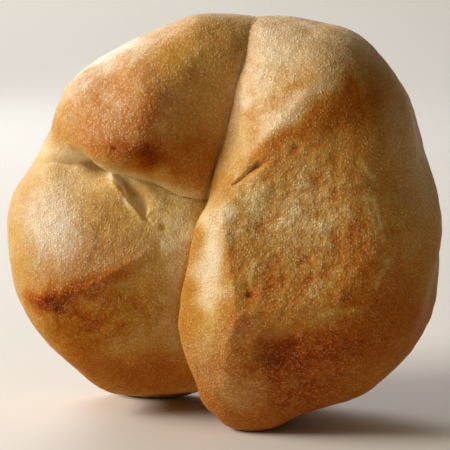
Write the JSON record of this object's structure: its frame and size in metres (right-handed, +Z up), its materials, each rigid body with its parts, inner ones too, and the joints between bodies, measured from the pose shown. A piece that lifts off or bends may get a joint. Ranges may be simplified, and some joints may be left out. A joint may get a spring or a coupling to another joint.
{
  "type": "olive oil brioche",
  "caption": "Soft bread roll of fused dough lobes with a browned, seamed top, set upright on its rim.",
  "frame": {"origin": "under the middle of the roll's box, on the surface that it stands on", "axes": "X along the roll's width, Y through its thickness with the baked top facing -Y and the flat base facing +Y, Z up"},
  "size_m": [0.1058, 0.057, 0.0993],
  "materials": {
    "crust": "satin baked crust, golden with browned ridges and pale seams"
  },
  "bodies": {
    "root": {"roll": "crust"}
  },
  "joints": []
}
